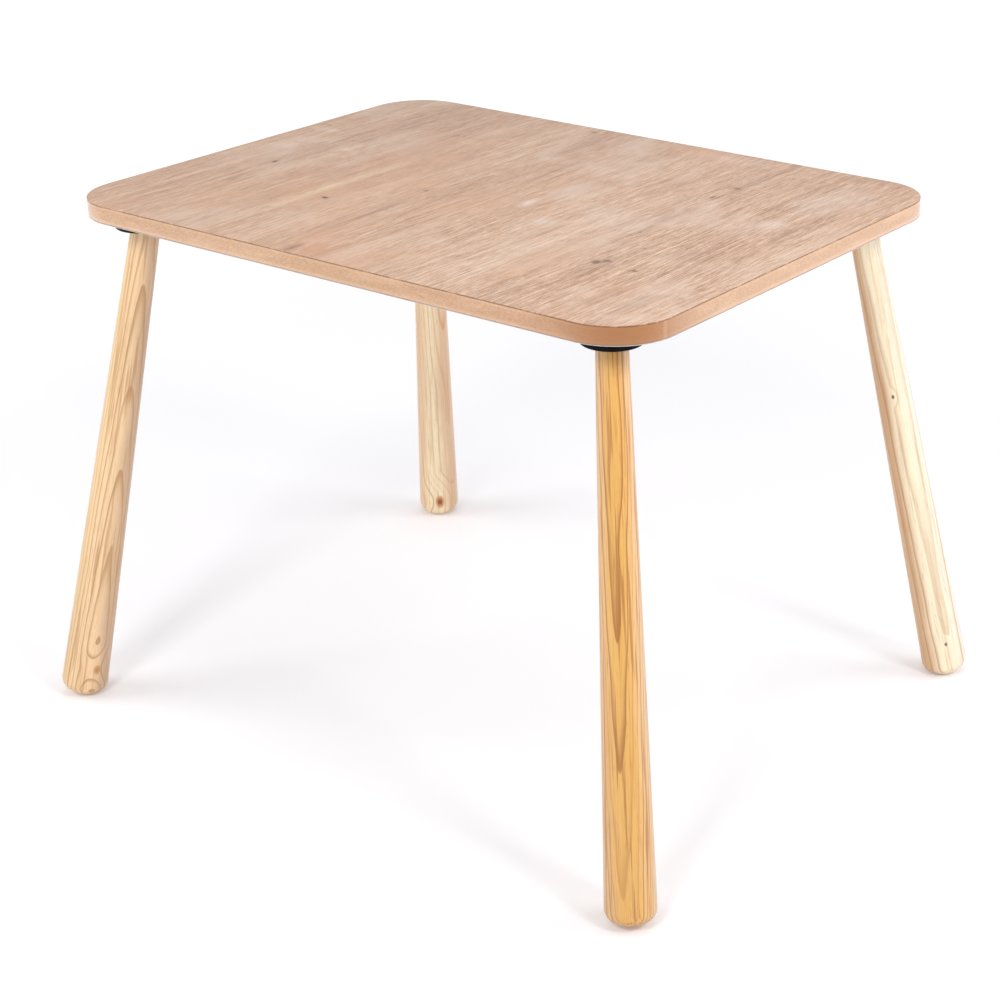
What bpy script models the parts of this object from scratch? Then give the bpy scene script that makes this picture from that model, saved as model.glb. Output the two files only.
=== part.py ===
"""A small child's table: a laminated board on four turned legs that screw into angled mounting blocks.

Metres, +Z up. The origin is on the floor under the middle of the top, and X runs along the top's long side.
Each mounting block has a frame at its middle on the underside of the top, with local +X pointing outwards,
the way its leg splays. Each leg has a frame on its axis, at the roof of the block's slanted socket, with
local -Z pointing down the leg: the leg and its bolt turn and travel along that axis as they unscrew.
"""

import math

import bmesh
import bpy
from mathutils import Matrix, Vector

# The whole table
TABLE_HEIGHT = 0.550
GAP = 0.0003

# The top: an MDF core with a thin laminate on each face
TOP_LENGTH = 0.700
TOP_WIDTH = 0.525
TOP_THICKNESS = 0.018
CORNER_RADIUS = 0.060
LAMINATE_THICKNESS = 0.0008
CORNER_STEPS = 10

# How the legs stand
BLOCK_INSET_X = 0.0585
BLOCK_INSET_Y = 0.052
SPLAY_DEG = 13.0
SPLAY_DIRECTION_DEG = 47.0

# Mounting block: a moulded round block, hollow above, with a slanted socket for the leg's head. The leg's
# axis crosses the block's middle line at AXIS_DEPTH, and the socket's roof is SEAT_RISE up the axis from there.
BLOCK_RADIUS = 0.0288
BLOCK_DEPTH = 0.0138
BLOCK_RIM_ROUND = 0.0015
BLOCK_WALL = 0.003
AXIS_DEPTH = 0.020
SEAT_RISE = 0.0101
SOCKET_CLEARANCE = 0.0005
SOCKET_WALL = 0.0025
SOCKET_ROOF = 0.003
HUB_RADIUS = 0.0105
HUB_TOP = 0.0060
RIB_THICKNESS = 0.002
RIB_TOP = -0.0070

# Screws that hold each block to the top
SCREW_CIRCLE_RADIUS = 0.0222
SCREW_RADIUS = 0.0020
SCREW_LENGTH = 0.018
SCREW_POINT = 0.0025
SCREW_HEAD_RADIUS = 0.0039
SCREW_HEAD_HEIGHT = 0.0024
SCREW_SEAT = 0.005
SCREW_WELL_RADIUS = 0.0042
SCREW_TUBE_RADIUS = 0.0062

# Flanged nut in each block, and the hanger bolt that turns in it
BOLT_RADIUS = 0.004
BOLT_ABOVE_LEG = 0.009
BOLT_IN_LEG = 0.035
BOLT_POINT = 0.004
NUT_BARREL_RADIUS = 0.0060
NUT_RIM_RADIUS = 0.0090
NUT_RIM_THICKNESS = 0.0014

# Turned leg
LEG_TOP_RADIUS = 0.0145
LEG_FOOT_RADIUS = 0.0245
LEG_TOP_EASE = 0.0008
FOOT_ROUND = 0.0135

SPLAY = math.radians(SPLAY_DEG)
UNDERSIDE = TABLE_HEIGHT - TOP_THICKNESS
FOOT_FLAT_RADIUS = LEG_FOOT_RADIUS - FOOT_ROUND
SOCKET_RADIUS = LEG_TOP_RADIUS + SOCKET_CLEARANCE
LEG_LENGTH = SEAT_RISE + FOOT_ROUND + (
    UNDERSIDE - AXIS_DEPTH - FOOT_ROUND - FOOT_FLAT_RADIUS * math.sin(SPLAY)
) / math.cos(SPLAY)

CORNERS = {
    "front_left": (-1, -1),
    "front_right": (1, -1),
    "back_left": (-1, 1),
    "back_right": (1, 1),
}


def srgb(*values):
    """A linear colour from 0 to 255 screen values."""
    return [((v / 255 + 0.055) / 1.055) ** 2.4 for v in values]


def clear_scene():
    for obj in list(bpy.data.objects):
        bpy.data.objects.remove(obj)


def make_material(name, color, roughness, metallic=0.0):
    material = bpy.data.materials.new(name)
    material.use_nodes = True
    shader = material.node_tree.nodes["Principled BSDF"]
    shader.inputs["Base Color"].default_value = (*color, 1.0)
    shader.inputs["Roughness"].default_value = roughness
    shader.inputs["Metallic"].default_value = metallic
    return material


def add_object(name, mesh, material=None, parent=None, location=(0, 0, 0)):
    obj = bpy.data.objects.new(name, mesh)
    bpy.context.collection.objects.link(obj)
    if material and not mesh.materials:
        mesh.materials.append(material)
    obj.parent = parent
    obj.location = location
    return obj


def add_frame(name, parent=None, location=(0, 0, 0), rotation=(0, 0, 0)):
    frame = add_object(name, None, parent=parent, location=location)
    frame.rotation_euler = rotation
    return frame


def finished(bm, name):
    """The mesh of bm, with its faces pointing out and its round sides smooth."""
    bmesh.ops.recalc_face_normals(bm, faces=bm.faces)
    mesh = bpy.data.meshes.new(name)
    bm.to_mesh(mesh)
    bm.free()
    mesh.shade_smooth()
    mesh.set_sharp_from_angle(angle=math.radians(30))
    return mesh


def turned(profile, segments, place=None, closed=False):
    """A solid turned about Z from (radius, height) points: from axis to axis, or a closed loop."""
    bm = bmesh.new()
    verts = [bm.verts.new((radius, 0, height)) for radius, height in profile]
    ends = verts[1:] + verts[:1] if closed else verts[1:]
    edges = [bm.edges.new(pair) for pair in zip(verts, ends)]
    bmesh.ops.spin(
        bm, geom=verts + edges, cent=(0, 0, 0), axis=(0, 0, 1), angle=math.tau, steps=segments, use_merge=True
    )
    bmesh.ops.remove_doubles(bm, verts=bm.verts, dist=1e-6)
    bmesh.ops.recalc_face_normals(bm, faces=bm.faces)
    if place:
        bm.transform(place)
    return bm


def joined(pieces):
    """One bmesh that holds several separate ones."""
    bm = bmesh.new()
    for piece in pieces:
        mesh = bpy.data.meshes.new("piece")
        piece.to_mesh(mesh)
        piece.free()
        bm.from_mesh(mesh)
        bpy.data.meshes.remove(mesh)
    return bm


def add_cutter(name, bm):
    cutter = add_object(name, finished(bm, name))
    cutter.hide_render = True
    cutter.display_type = "WIRE"
    return cutter


def cut(obj, cutter):
    modifier = obj.modifiers.new(cutter.name, "BOOLEAN")
    modifier.operation = "DIFFERENCE"
    modifier.solver = "EXACT"
    modifier.object = cutter


def mesh_as_cut(obj, name):
    """The mesh of an object with its modifiers applied."""
    graph = bpy.context.evaluated_depsgraph_get()
    mesh = bpy.data.meshes.new_from_object(obj.evaluated_get(graph))
    mesh.name = name
    mesh.shade_smooth()
    mesh.set_sharp_from_angle(angle=math.radians(30))
    return mesh


def leg_axis_frame():
    """The leg's frame in the block's: tilted about Y at the middle of the slanted lower face."""
    tilted = Matrix.Translation((0, 0, -AXIS_DEPTH)) @ Matrix.Rotation(-SPLAY, 4, "Y")
    return tilted @ Matrix.Translation((0, 0, SEAT_RISE))


def screw_places():
    """Where the four screws stand in the block's frame."""
    for turn in range(4):
        angle = math.radians(45 + 90 * turn)
        yield SCREW_CIRCLE_RADIUS * math.cos(angle), SCREW_CIRCLE_RADIUS * math.sin(angle)


def top_outline():
    """The rounded rectangle of the top, anticlockwise."""
    points = []
    for quarter, (side_x, side_y) in enumerate(((1, 1), (-1, 1), (-1, -1), (1, -1))):
        centre_x = side_x * (TOP_LENGTH / 2 - CORNER_RADIUS)
        centre_y = side_y * (TOP_WIDTH / 2 - CORNER_RADIUS)
        for step in range(CORNER_STEPS + 1):
            angle = math.radians(90 * (quarter + step / CORNER_STEPS))
            x = centre_x + CORNER_RADIUS * math.cos(angle)
            y = centre_y + CORNER_RADIUS * math.sin(angle)
            points.append((x, y))
    return points


def slab_mesh(name, bottom, top):
    bm = bmesh.new()
    face = bm.faces.new([bm.verts.new((x, y, bottom)) for x, y in top_outline()])
    grown = bmesh.ops.extrude_face_region(bm, geom=[face])["geom"]
    raised = [item for item in grown if isinstance(item, bmesh.types.BMVert)]
    bmesh.ops.translate(bm, verts=raised, vec=(0, 0, top - bottom))
    return finished(bm, name)


def pilot_hole_cutter(block_frames):
    """The screw holes in the underside of the top, for every block."""
    depth = SCREW_LENGTH - SCREW_SEAT
    radius = SCREW_RADIUS + GAP
    profile = [(0, depth + GAP), (radius, depth + GAP), (radius, -BLOCK_WALL), (0, -BLOCK_WALL)]
    holes = []
    for frame in block_frames:
        for x, y in screw_places():
            holes.append(turned(profile, 10, frame @ Matrix.Translation((x, y, 0))))
    return add_cutter("pilot_holes", joined(holes))


def build_top(block_frames, mdf, decor, white):
    """The core and its two laminates, with screw holes from below."""
    holes = pilot_hole_cutter(block_frames)
    backing_top = UNDERSIDE + LAMINATE_THICKNESS
    decor_bottom = TABLE_HEIGHT - LAMINATE_THICKNESS
    core = slab_mesh("tabletop_core", backing_top + GAP, decor_bottom - GAP)
    backing = slab_mesh("tabletop_bottom_laminate", UNDERSIDE, backing_top)
    cut(add_object("tabletop_core", core, mdf), holes)
    cut(add_object("tabletop_bottom_laminate", backing, white), holes)
    face = slab_mesh("tabletop_top_laminate", decor_bottom, TABLE_HEIGHT)
    add_object("tabletop_top_laminate", face, decor)


def block_pocket():
    """The hollow above the block's floor, which leaves the socket, the hub, the screw tubes and the ribs."""
    radius, floor = BLOCK_RADIUS - BLOCK_WALL, BLOCK_WALL - BLOCK_DEPTH
    hollow = turned([(0, BLOCK_WALL), (radius, BLOCK_WALL), (radius, floor), (0, floor)], 36)
    pocket = add_cutter("block_pocket", hollow)
    outer, below = SOCKET_RADIUS + SOCKET_WALL, -2 * BLOCK_DEPTH
    post = [(0, HUB_TOP), (HUB_RADIUS, HUB_TOP), (HUB_RADIUS, SOCKET_ROOF), (outer, SOCKET_ROOF)]
    post += [(outer, below), (0, below)]
    cut(pocket, add_cutter("block_post", turned(post, 24, leg_axis_frame())))
    tube = [(0, 2 * BLOCK_WALL), (SCREW_TUBE_RADIUS, 2 * BLOCK_WALL), (SCREW_TUBE_RADIUS, below), (0, below)]
    tubes = [turned(tube, 12, Matrix.Translation((x, y, 0))) for x, y in screw_places()]
    cut(pocket, add_cutter("block_tubes", joined(tubes)))
    cut(pocket, add_cutter("block_ribs", rib_cross()))
    return pocket


def rib_cross():
    """A plus-shaped wall across the pocket, lower than the hub."""
    bm = bmesh.new()
    near, far = RIB_THICKNESS / 2, BLOCK_RADIUS
    corners = [(near, near), (near, far), (-near, far), (-near, near), (-far, near), (-far, -near)]
    corners += [(-x, -y) for x, y in corners]
    face = bm.faces.new([bm.verts.new((x, y, RIB_TOP)) for x, y in corners])
    grown = bmesh.ops.extrude_face_region(bm, geom=[face])["geom"]
    lowered = [item for item in grown if isinstance(item, bmesh.types.BMVert)]
    bmesh.ops.translate(bm, verts=lowered, vec=(0, 0, -2 * BLOCK_DEPTH))
    return bm


def block_bores():
    """The stepped screw holes, and the bore for the nut, the bolt and the leg's head along the leg's axis."""
    shank, well = SCREW_RADIUS + GAP, SCREW_WELL_RADIUS
    above, below = BLOCK_WALL, -2 * BLOCK_DEPTH
    screw_hole = [(0, above), (shank, above), (shank, -SCREW_SEAT), (well, -SCREW_SEAT), (well, below), (0, below)]
    bores = [turned(screw_hole, 12, Matrix.Translation((x, y, 0))) for x, y in screw_places()]
    bolt, nut, end = BOLT_RADIUS + 2 * GAP, NUT_BARREL_RADIUS + GAP, HUB_TOP + BLOCK_WALL
    leg_bore = [(0, end), (nut, end), (nut, SOCKET_ROOF), (bolt, SOCKET_ROOF), (bolt, 0)]
    leg_bore += [(SOCKET_RADIUS, 0), (SOCKET_RADIUS, below), (0, below)]
    bores.append(turned(leg_bore, 24, leg_axis_frame()))
    return add_cutter("block_bores", joined(bores))


def block_body():
    """The block before it is hollowed: a disc with a rounded lower rim."""
    profile = [(0, -GAP), (BLOCK_RADIUS, -GAP)]
    steps = 3
    for step in range(steps + 1):
        angle = math.pi / 2 * step / steps
        radius = BLOCK_RADIUS - BLOCK_RIM_ROUND * (1 - math.cos(angle))
        profile.append((radius, -BLOCK_DEPTH + BLOCK_RIM_ROUND * (1 - math.sin(angle))))
    profile.append((0, -BLOCK_DEPTH))
    return finished(turned(profile, 48), "block_body")


def block_mesh():
    blank = add_object("block_blank", block_body())
    for tool in (block_pocket(), block_bores()):
        cut(blank, tool)
    mesh = mesh_as_cut(blank, "mounting_block")
    for name in ("block_blank", "block_pocket", "block_post", "block_tubes", "block_ribs", "block_bores"):
        bpy.data.objects.remove(bpy.data.objects[name])
    return mesh


def screw_mesh():
    """A pan-head wood screw, with its head's bearing face at height 0."""
    profile = [
        (0, SCREW_LENGTH),
        (SCREW_RADIUS, SCREW_LENGTH - SCREW_POINT),
        (SCREW_RADIUS, 0),
        (SCREW_HEAD_RADIUS, 0),
        (SCREW_HEAD_RADIUS, -SCREW_HEAD_HEIGHT / 2),
        (SCREW_HEAD_RADIUS * 0.7, -SCREW_HEAD_HEIGHT),
        (0, -SCREW_HEAD_HEIGHT),
    ]
    return finished(turned(profile, 12), "block_screw")


def nut_mesh():
    """A flanged nut: its barrel stands in the hub and its rim rests on the hub's end."""
    bore = BOLT_RADIUS + GAP
    rim_bottom = HUB_TOP + GAP
    rim_top = rim_bottom + NUT_RIM_THICKNESS
    profile = [
        (bore, SOCKET_ROOF + GAP),
        (NUT_BARREL_RADIUS, SOCKET_ROOF + GAP),
        (NUT_BARREL_RADIUS, rim_bottom),
        (NUT_RIM_RADIUS, rim_bottom),
        (NUT_RIM_RADIUS, rim_top),
        (bore, rim_top),
    ]
    return finished(turned(profile, 16, closed=True), "leg_nut")


def bolt_mesh():
    """A hanger bolt: a machine thread above the leg's top, and a wood thread down in the leg."""
    ease = BOLT_RADIUS / 5
    profile = [
        (0, BOLT_ABOVE_LEG),
        (BOLT_RADIUS - ease, BOLT_ABOVE_LEG),
        (BOLT_RADIUS, BOLT_ABOVE_LEG - ease),
        (BOLT_RADIUS, -BOLT_IN_LEG + BOLT_POINT),
        (0, -BOLT_IN_LEG),
    ]
    return finished(turned(profile, 16), "hanger_bolt")


def leg_mesh():
    """A straight-tapered leg with a hole for its bolt and a rounded foot."""
    hole, hole_bottom = BOLT_RADIUS + GAP, -BOLT_IN_LEG - GAP
    profile = [
        (0, hole_bottom),
        (hole, hole_bottom),
        (hole, -GAP),
        (LEG_TOP_RADIUS - LEG_TOP_EASE, -GAP),
        (LEG_TOP_RADIUS, -GAP - LEG_TOP_EASE),
    ]
    steps = 7
    for step in range(steps + 1):
        angle = math.pi / 2 * step / steps
        radius = FOOT_FLAT_RADIUS + FOOT_ROUND * math.cos(angle)
        height = -LEG_LENGTH + FOOT_ROUND * (1 - math.sin(angle))
        profile.append((radius, height))
    profile.append((0, -LEG_LENGTH))
    return finished(turned(profile, 32), "leg")


def add_block_frame(name, side_x, side_y):
    """The frame at a block's middle, on the underside of the top."""
    direction = math.radians(SPLAY_DIRECTION_DEG)
    outwards = math.atan2(side_y * math.sin(direction), side_x * math.cos(direction))
    x = side_x * (TOP_LENGTH / 2 - BLOCK_INSET_X)
    y = side_y * (TOP_WIDTH / 2 - BLOCK_INSET_Y)
    return add_frame(f"{name}_block_frame", location=(x, y, UNDERSIDE), rotation=(0, 0, outwards))


def main():
    clear_scene()
    decor = make_material("oak_decor_laminate", srgb(209, 176, 151), 0.35)
    white = make_material("white_backing_laminate", srgb(226, 222, 222), 0.45)
    mdf = make_material("lacquered_mdf", srgb(214, 170, 128), 0.25)
    wood = make_material("turned_leg_wood", srgb(226, 190, 142), 0.35)
    plastic = make_material("black_plastic", srgb(18, 18, 20), 0.25)
    steel = make_material("zinc_plated_steel", srgb(190, 192, 196), 0.30, 1.0)

    block_frames = {name: add_block_frame(name, *sides) for name, sides in CORNERS.items()}
    bpy.context.view_layer.update()
    build_top([frame.matrix_world.copy() for frame in block_frames.values()], mdf, decor, white)

    block, screw, nut, bolt, leg = block_mesh(), screw_mesh(), nut_mesh(), bolt_mesh(), leg_mesh()
    for name, block_frame in block_frames.items():
        seat = leg_axis_frame().to_translation()
        leg_frame = add_frame(f"{name}_leg_axis", block_frame, location=seat, rotation=(0, -SPLAY, 0))
        add_object(f"{name}_mounting_block", block, plastic, block_frame)
        for number, (x, y) in enumerate(screw_places(), start=1):
            head = (x, y, -SCREW_SEAT - GAP)
            add_object(f"{name}_block_screw_{number}", screw, steel, block_frame, head)
        add_object(f"{name}_leg_nut", nut, steel, leg_frame)
        add_object(f"{name}_hanger_bolt", bolt, steel, leg_frame)
        add_object(f"{name}_leg", leg, wood, leg_frame)


main()
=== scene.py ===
"""How the child's table looks: a decor-faced board with a bare lacquered edge, on four turned wooden legs.

Metres, +Z up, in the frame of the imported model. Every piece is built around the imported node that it
stands for, with its vertices in that frame, and it rides on that node's body.
"""

import math

import bmesh
import bpy
from mathutils import Matrix, Vector


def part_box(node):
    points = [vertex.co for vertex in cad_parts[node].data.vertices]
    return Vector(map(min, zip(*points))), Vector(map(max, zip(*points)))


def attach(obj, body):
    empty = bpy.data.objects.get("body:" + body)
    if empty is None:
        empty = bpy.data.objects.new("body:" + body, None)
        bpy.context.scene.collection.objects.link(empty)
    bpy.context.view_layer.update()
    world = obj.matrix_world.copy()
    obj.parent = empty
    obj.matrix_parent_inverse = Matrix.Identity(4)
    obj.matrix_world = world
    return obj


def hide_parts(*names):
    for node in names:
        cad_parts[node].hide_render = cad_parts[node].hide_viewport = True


CORNERS = {
    "front_left": (-1, -1),
    "front_right": (1, -1),
    "back_left": (-1, 1),
    "back_right": (1, 1),
}
GAP = 0.0003

# The top
CORNER_RADIUS = 0.060
CORNER_STEPS = 28
CORE_EASE = 0.0003
LAMINATE_EASE = 0.0003

# Mounting block, and how its leg stands. The leg's axis crosses the block's middle line at AXIS_DEPTH, and
# the roof of its slanted socket is SEAT_RISE up the axis from there.
SPLAY = math.radians(13.0)
SPLAY_DIRECTION_DEG = 47.0
BLOCK_RADIUS = 0.0288
BLOCK_DEPTH = 0.0138
BLOCK_RIM_ROUND = 0.0015
BLOCK_WALL = 0.003
AXIS_DEPTH = 0.020
SEAT_RISE = 0.0101
SOCKET_CLEARANCE = 0.0005
SOCKET_WALL = 0.0025
SOCKET_ROOF = 0.003
HUB_RADIUS = 0.0105
HUB_TOP = 0.0060
RIB_THICKNESS = 0.002
RIB_TOP = -0.0070

# Screws that hold each block
SCREW_CIRCLE_RADIUS = 0.0222
SCREW_RADIUS = 0.0020
SCREW_ROOT_RADIUS = 0.0013
SCREW_PITCH = 0.0016
SCREW_LENGTH = 0.018
SCREW_POINT = 0.0030
SCREW_HEAD_RADIUS = 0.0039
SCREW_HEAD_HEIGHT = 0.0024
SCREW_SEAT = 0.005
SCREW_WELL_RADIUS = 0.0042
SCREW_TUBE_RADIUS = 0.0062

# Hanger bolt and its flanged nut
BOLT_RADIUS = 0.004
BOLT_THREAD_ROOT = 0.00335
BOLT_PITCH = 0.00125
BOLT_ABOVE_LEG = 0.009
BOLT_IN_LEG = 0.035
BOLT_POINT = 0.006
WOOD_THREAD_ROOT = 0.0028
WOOD_THREAD_PITCH = 0.0030
WOOD_THREAD_TOP = -0.009
NUT_BARREL_RADIUS = 0.0060
NUT_RIM_RADIUS = 0.0090
NUT_RIM_THICKNESS = 0.0014

# Turned leg
LEG_TOP_RADIUS = 0.0145
LEG_FOOT_RADIUS = 0.0245
LEG_TOP_EASE = 0.0008
FOOT_ROUND = 0.0135
FOOT_FLAT_RADIUS = LEG_FOOT_RADIUS - FOOT_ROUND
SOCKET_RADIUS = LEG_TOP_RADIUS + SOCKET_CLEARANCE

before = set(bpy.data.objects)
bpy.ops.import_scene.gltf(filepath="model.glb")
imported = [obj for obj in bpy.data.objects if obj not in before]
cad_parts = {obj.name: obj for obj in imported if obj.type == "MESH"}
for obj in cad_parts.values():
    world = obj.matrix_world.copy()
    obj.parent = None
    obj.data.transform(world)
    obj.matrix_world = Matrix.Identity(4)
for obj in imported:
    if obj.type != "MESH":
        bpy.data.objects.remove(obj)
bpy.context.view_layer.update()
bpy.context.scene.view_settings.view_transform = "Standard"

FACE_LOW, FACE_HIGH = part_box("tabletop_top_laminate")
CORE_LOW, CORE_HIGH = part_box("tabletop_core")
BACKING_LOW, BACKING_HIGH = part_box("tabletop_bottom_laminate")
UNDERSIDE = BACKING_LOW.z
HALF_LENGTH = FACE_HIGH.x
HALF_WIDTH = FACE_HIGH.y
LEG_LENGTH = SEAT_RISE + FOOT_ROUND + (
    UNDERSIDE - AXIS_DEPTH - FOOT_ROUND - FOOT_FLAT_RADIUS * math.sin(SPLAY)
) / math.cos(SPLAY)


# ---------------------------------------------------------------- where things are


def outwards_angle(corner):
    """The direction in plan that a corner's leg splays, from +X."""
    side_x, side_y = CORNERS[corner]
    direction = math.radians(SPLAY_DIRECTION_DEG)
    return math.atan2(side_y * math.sin(direction), side_x * math.cos(direction))


def block_frame(corner):
    """The frame at a block's middle on the underside of the top, with +X outwards."""
    low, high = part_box(f"{corner}_mounting_block")
    middle = (low + high) / 2
    place = Matrix.Translation((middle.x, middle.y, UNDERSIDE))
    return place @ Matrix.Rotation(outwards_angle(corner), 4, "Z")


def tilt_to_leg():
    """The leg's frame in the block's: on its axis at the roof of the slanted socket, -Z down the leg."""
    tilted = Matrix.Translation((0, 0, -AXIS_DEPTH)) @ Matrix.Rotation(-SPLAY, 4, "Y")
    return tilted @ Matrix.Translation((0, 0, SEAT_RISE))


def leg_frame(corner):
    return block_frame(corner) @ tilt_to_leg()


def screw_places():
    for turn in range(4):
        angle = math.radians(45 + 90 * turn)
        yield SCREW_CIRCLE_RADIUS * math.cos(angle), SCREW_CIRCLE_RADIUS * math.sin(angle)


# ---------------------------------------------------------------- mesh helpers


def finished(bm, name, sharp_deg=35):
    bmesh.ops.recalc_face_normals(bm, faces=bm.faces)
    mesh = bpy.data.meshes.new(name)
    bm.to_mesh(mesh)
    bm.free()
    mesh.shade_smooth()
    mesh.set_sharp_from_angle(angle=math.radians(sharp_deg))
    return mesh


def turned(profile, segments, place=None, closed=False):
    """A solid turned about Z from (radius, height) points: from axis to axis, or a closed loop."""
    bm = bmesh.new()
    verts = [bm.verts.new((radius, 0, height)) for radius, height in profile]
    ends = verts[1:] + verts[:1] if closed else verts[1:]
    edges = [bm.edges.new(pair) for pair in zip(verts, ends)]
    bmesh.ops.spin(
        bm,
        geom=verts + edges,
        cent=(0, 0, 0),
        axis=(0, 0, 1),
        angle=math.tau,
        steps=segments,
        use_merge=True,
    )
    bmesh.ops.remove_doubles(bm, verts=bm.verts, dist=1e-6)
    bmesh.ops.recalc_face_normals(bm, faces=bm.faces)
    if place:
        bm.transform(place)
    return bm


def joined(pieces):
    bm = bmesh.new()
    for piece in pieces:
        mesh = bpy.data.meshes.new("piece")
        piece.to_mesh(mesh)
        piece.free()
        bm.from_mesh(mesh)
        bpy.data.meshes.remove(mesh)
    return bm


def cut_mesh(mesh, cutter_bms, name, sharp_deg=35):
    """mesh with each cutter taken out of it."""
    blank = bpy.data.objects.new("blank", mesh)
    bpy.context.collection.objects.link(blank)
    tools = []
    for number, bm in enumerate(cutter_bms):
        tool = bpy.data.objects.new(f"tool_{number}", finished(bm, "tool"))
        bpy.context.collection.objects.link(tool)
        tools.append(tool)
        modifier = blank.modifiers.new(tool.name, "BOOLEAN")
        modifier.operation = "DIFFERENCE"
        modifier.solver = "EXACT"
        modifier.object = tool
    graph = bpy.context.evaluated_depsgraph_get()
    result = bpy.data.meshes.new_from_object(blank.evaluated_get(graph))
    result.name = name
    for obj in [blank] + tools:
        old = obj.data
        bpy.data.objects.remove(obj)
        bpy.data.meshes.remove(old)
    result.shade_smooth()
    result.set_sharp_from_angle(angle=math.radians(sharp_deg))
    return result


def to_bmesh(mesh):
    bm = bmesh.new()
    bm.from_mesh(mesh)
    bpy.data.meshes.remove(mesh)
    return bm


def arc(centre_r, centre_z, radius, start_deg, end_deg, steps):
    """Points of a quarter round in a (radius, height) profile."""
    points = []
    for step in range(steps + 1):
        angle = math.radians(start_deg + (end_deg - start_deg) * step / steps)
        points.append((centre_r + radius * math.cos(angle), centre_z + radius * math.sin(angle)))
    return points


def add_piece(name, mesh, body, nodes, slot, *materials):
    """A piece that stands for CAD nodes, rides on their body, and takes the materials given; slot is not
    used.
    """
    mesh.name = name
    for material in materials:
        mesh.materials.append(material)
    piece = bpy.data.objects.new(name, mesh)
    bpy.context.collection.objects.link(piece)
    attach(piece, body)
    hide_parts(*nodes)
    return piece


# ---------------------------------------------------------------- node helpers


class Graph:
    """A material's nodes, with short calls for the ones used here.

    An input of a call is a socket or a plain value.
    """

    def __init__(self, name):
        self.material = bpy.data.materials.new(name)
        self.material.use_nodes = True
        self.tree = self.material.node_tree
        self.shader = self.tree.nodes["Principled BSDF"]

    def put(self, socket, value):
        if isinstance(value, bpy.types.NodeSocket):
            self.tree.links.new(value, socket)
        else:
            socket.default_value = value

    def object_point(self):
        return self.tree.nodes.new("ShaderNodeTexCoord").outputs["Object"]

    def mapped(self, vector, scale=(1, 1, 1), location=(0, 0, 0), rotation=(0, 0, 0), kind="POINT"):
        node = self.tree.nodes.new("ShaderNodeMapping")
        node.vector_type = kind
        self.put(node.inputs["Vector"], vector)
        node.inputs["Location"].default_value = location
        node.inputs["Rotation"].default_value = rotation
        node.inputs["Scale"].default_value = scale
        return node.outputs["Vector"]

    def noise(self, vector, scale=1.0, detail=2.0, roughness=0.5, distortion=0.0):
        node = self.tree.nodes.new("ShaderNodeTexNoise")
        self.put(node.inputs["Vector"], vector)
        node.inputs["Scale"].default_value = scale
        node.inputs["Detail"].default_value = detail
        node.inputs["Roughness"].default_value = roughness
        node.inputs["Distortion"].default_value = distortion
        return node.outputs["Fac"]

    def math(self, operation, a, b=0.0, c=0.0, clamp=False):
        node = self.tree.nodes.new("ShaderNodeMath")
        node.operation = operation
        node.use_clamp = clamp
        for socket, value in zip(node.inputs, (a, b, c)):
            self.put(socket, value)
        return node.outputs[0]

    def vector(self, operation, a, b=(0, 0, 0)):
        node = self.tree.nodes.new("ShaderNodeVectorMath")
        node.operation = operation
        self.put(node.inputs[0], a)
        self.put(node.inputs[1], b)
        return node.outputs["Value" if operation in ("LENGTH", "DOT_PRODUCT") else "Vector"]

    def apart(self, vector):
        node = self.tree.nodes.new("ShaderNodeSeparateXYZ")
        self.put(node.inputs[0], vector)
        return node.outputs[0], node.outputs[1], node.outputs[2]

    def together(self, x, y, z):
        node = self.tree.nodes.new("ShaderNodeCombineXYZ")
        for socket, value in zip(node.inputs, (x, y, z)):
            self.put(socket, value)
        return node.outputs[0]

    def span(self, value, low, high, out_low=0.0, out_high=1.0, smooth=True):
        """value taken from low..high to out_low..out_high, and held at the ends."""
        node = self.tree.nodes.new("ShaderNodeMapRange")
        node.interpolation_type = "SMOOTHSTEP" if smooth else "LINEAR"
        names = ("Value", "From Min", "From Max", "To Min", "To Max")
        for name, number in zip(names, (value, low, high, out_low, out_high)):
            self.put(node.inputs[name], number)
        return node.outputs["Result"]

    def mix(self, share, a, b, kind="MIX"):
        """Colour a turning into colour b."""
        node = self.tree.nodes.new("ShaderNodeMix")
        node.data_type = "RGBA"
        node.blend_type = kind
        self.put(node.inputs[0], share)
        self.put(node.inputs[6], a if isinstance(a, bpy.types.NodeSocket) else (*a, 1.0))
        self.put(node.inputs[7], b if isinstance(b, bpy.types.NodeSocket) else (*b, 1.0))
        return node.outputs[2]

    def ramp(self, value, stops):
        node = self.tree.nodes.new("ShaderNodeValToRGB")
        elements = node.color_ramp.elements
        while len(elements) < len(stops):
            elements.new(0.5)
        for element, (position, colour) in zip(elements, stops):
            element.position = position
            element.color = (*colour, 1.0)
        self.put(node.inputs["Fac"], value)
        return node.outputs["Color"]

    def bump(self, height, distance, strength=1.0, normal=None):
        node = self.tree.nodes.new("ShaderNodeBump")
        self.put(node.inputs["Height"], height)
        node.inputs["Distance"].default_value = distance
        node.inputs["Strength"].default_value = strength
        if normal:
            self.put(node.inputs["Normal"], normal)
        return node.outputs["Normal"]

    def spot(self, point, centre, size, soft=0.5):
        """1 inside an ellipse in plan about centre, falling to 0 at its edge."""
        moved = self.vector("SUBTRACT", point, (*centre, 0))
        scaled = self.vector("MULTIPLY", moved, (1 / size[0], 1 / size[1], 0))
        return self.span(self.vector("LENGTH", scaled), soft, 1.0, 1.0, 0.0)

    def finish(self, colour, roughness, normal=None, **constants):
        """Sets the shader's colour, roughness, normal and plain numbers, and gives the material."""
        self.put(self.shader.inputs["Base Color"], colour)
        self.put(self.shader.inputs["Roughness"], roughness)
        if normal:
            self.put(self.shader.inputs["Normal"], normal)
        for name, value in constants.items():
            self.shader.inputs[name.replace("_", " ")].default_value = value
        return self.material


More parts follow.
